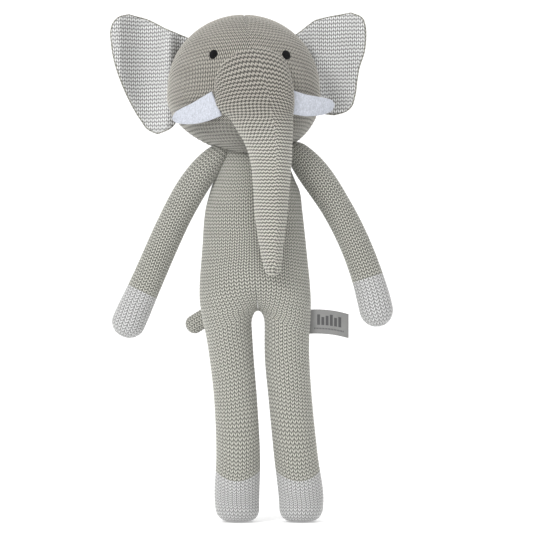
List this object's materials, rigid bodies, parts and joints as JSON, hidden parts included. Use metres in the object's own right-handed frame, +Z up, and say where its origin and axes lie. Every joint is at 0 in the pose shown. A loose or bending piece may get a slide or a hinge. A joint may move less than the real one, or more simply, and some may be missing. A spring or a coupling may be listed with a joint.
{
  "type": "knitted elephant soft toy",
  "caption": "Stuffed knitted elephant with hinged long limbs, floppy ears, curling trunk, felt tusks and folded side label.",
  "frame": {"origin": "on the ground under the middle of the toy, at the bottom centre of its bounding box", "axes": "+Z up from soles to crown, the face looks along -Y, the toy's own left is +X"},
  "size_m": [0.2277, 0.1175, 0.4096],
  "materials": {
    "body_knit": "matt cotton knit, warm light grey",
    "head_knit": "matt cotton knit, slightly darker taupe grey",
    "white_knit": "matt cotton knit, white",
    "tusk_felt": "pale cool white felt",
    "eye_thread": "black satin-stitch embroidery",
    "label_ribbon": "grey satin ribbon",
    "fibre_fill": "loose white polyester fibre"
  },
  "bodies": {
    "torso": {"torso_cover": "body_knit", "torso_stuffing": "fibre_fill"},
    "head": {"head_cover": "head_knit", "head_stuffing": "fibre_fill", "eye_right": "eye_thread", "eye_left": "eye_thread", "tusk_right": "tusk_felt", "tusk_left": "tusk_felt"},
    "ear_right": {"ear_front_right": "white_knit", "ear_back_right": "body_knit"},
    "ear_left": {"ear_front_left": "white_knit", "ear_back_left": "body_knit"},
    "trunk_upper": {"trunk_upper_cover": "head_knit", "trunk_upper_stuffing": "fibre_fill"},
    "trunk_lower": {"trunk_lower_cover": "head_knit", "trunk_lower_stuffing": "fibre_fill"},
    "arm_right": {"arm_cover_right": "body_knit", "hand_right": "white_knit", "arm_stuffing_right": "fibre_fill"},
    "arm_left": {"arm_cover_left": "body_knit", "hand_left": "white_knit", "arm_stuffing_left": "fibre_fill"},
    "leg_right": {"leg_cover_right": "body_knit", "foot_right": "white_knit", "leg_stuffing_right": "fibre_fill"},
    "leg_left": {"leg_cover_left": "body_knit", "foot_left": "white_knit", "leg_stuffing_left": "fibre_fill"},
    "tail": {"tail": "body_knit"},
    "label": {"label": "label_ribbon"}
  },
  "joints": [
    {"name": "neck_nod", "type": "hinge", "parent": "torso", "child": "head", "pos_m": [0.002, 0.002, 0.291], "axis": [-1, 0, 0], "range_deg": [0, 18], "stiffness_Nm_per_rad": 0.3},
    {"name": "trunk_lift", "type": "hinge", "parent": "head", "child": "trunk_upper", "pos_m": [0.008, -0.04, 0.326], "axis": [-1, 0, 0], "range_deg": [0, 60], "stiffness_Nm_per_rad": 0.03},
    {"name": "trunk_curl", "type": "hinge", "parent": "trunk_upper", "child": "trunk_lower", "pos_m": [0.0155, -0.042, 0.262], "axis": [-1, 0, 0], "range_deg": [0, 70], "stiffness_Nm_per_rad": 0.008},
    {"name": "ear_flap_right", "type": "hinge", "parent": "head", "child": "ear_right", "pos_m": [-0.0665, 0.022, 0.357], "axis": [0, 0, 1], "range_deg": [-8, 40], "stiffness_Nm_per_rad": 0.008},
    {"name": "ear_flap_left", "type": "hinge", "parent": "head", "child": "ear_left", "pos_m": [0.054, 0.022, 0.357], "axis": [0, 0, -1], "range_deg": [-8, 40], "stiffness_Nm_per_rad": 0.008},
    {"name": "shoulder_right", "type": "hinge", "parent": "torso", "child": "arm_right", "pos_m": [-0.032, 0, 0.289], "axis": [0, 1, 0], "range_deg": [0, 60], "stiffness_Nm_per_rad": 0.06},
    {"name": "shoulder_left", "type": "hinge", "parent": "torso", "child": "arm_left", "pos_m": [0.038, 0, 0.291], "axis": [0, -1, 0], "range_deg": [0, 60], "stiffness_Nm_per_rad": 0.06},
    {"name": "hip_right", "type": "hinge", "parent": "torso", "child": "leg_right", "pos_m": [-0.015, 0, 0.15], "axis": [-1, 0, 0], "range_deg": [0, 85], "stiffness_Nm_per_rad": 0.15},
    {"name": "hip_left", "type": "hinge", "parent": "torso", "child": "leg_left", "pos_m": [0.0285, 0, 0.15], "axis": [-1, 0, 0], "range_deg": [0, 85], "stiffness_Nm_per_rad": 0.15},
    {"name": "tail_wag", "type": "hinge", "parent": "torso", "child": "tail", "pos_m": [-0.025, 0.028, 0.172], "axis": [0, 0, 1], "range_deg": [-15, 15], "stiffness_Nm_per_rad": 0.004},
    {"name": "label_flip", "type": "hinge", "parent": "torso", "child": "label", "pos_m": [0.0484, 0.002, 0.16], "axis": [0, 0, 1], "range_deg": [-45, 45], "stiffness_Nm_per_rad": 0.0005}
  ]
}
